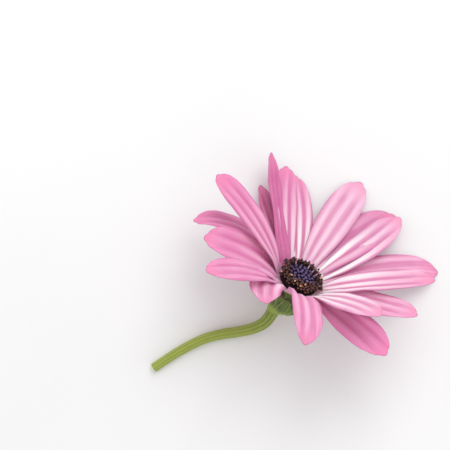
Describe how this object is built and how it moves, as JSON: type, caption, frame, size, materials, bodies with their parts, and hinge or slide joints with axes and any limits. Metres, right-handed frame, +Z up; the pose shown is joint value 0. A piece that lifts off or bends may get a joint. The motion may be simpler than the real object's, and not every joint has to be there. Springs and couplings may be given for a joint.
{
  "type": "osteospermum",
  "caption": "Picked osteospermum flower lying on its side: pink ray florets round a dark disc, green involucre and a curved cut stem.",
  "frame": {"origin": "on the resting surface, under the middle of the flower's bounding box", "axes": "+Z up from the surface that the flower lies on, +X along the flower from the cut end of the stem to the furthest ray floret, +Y towards the side that the head faces"},
  "size_m": [0.077, 0.0584, 0.0383],
  "materials": {
    "stem": "satin yellow-green plant skin",
    "involucre": "matt green bracts",
    "ray_florets": "soft satin mauve-pink petal",
    "disc_florets": "matt violet-black florets"
  },
  "bodies": {
    "root": {"stem": "stem", "involucre": "involucre", "ray_florets": "ray_florets", "disc_florets": "disc_florets"}
  },
  "joints": []
}
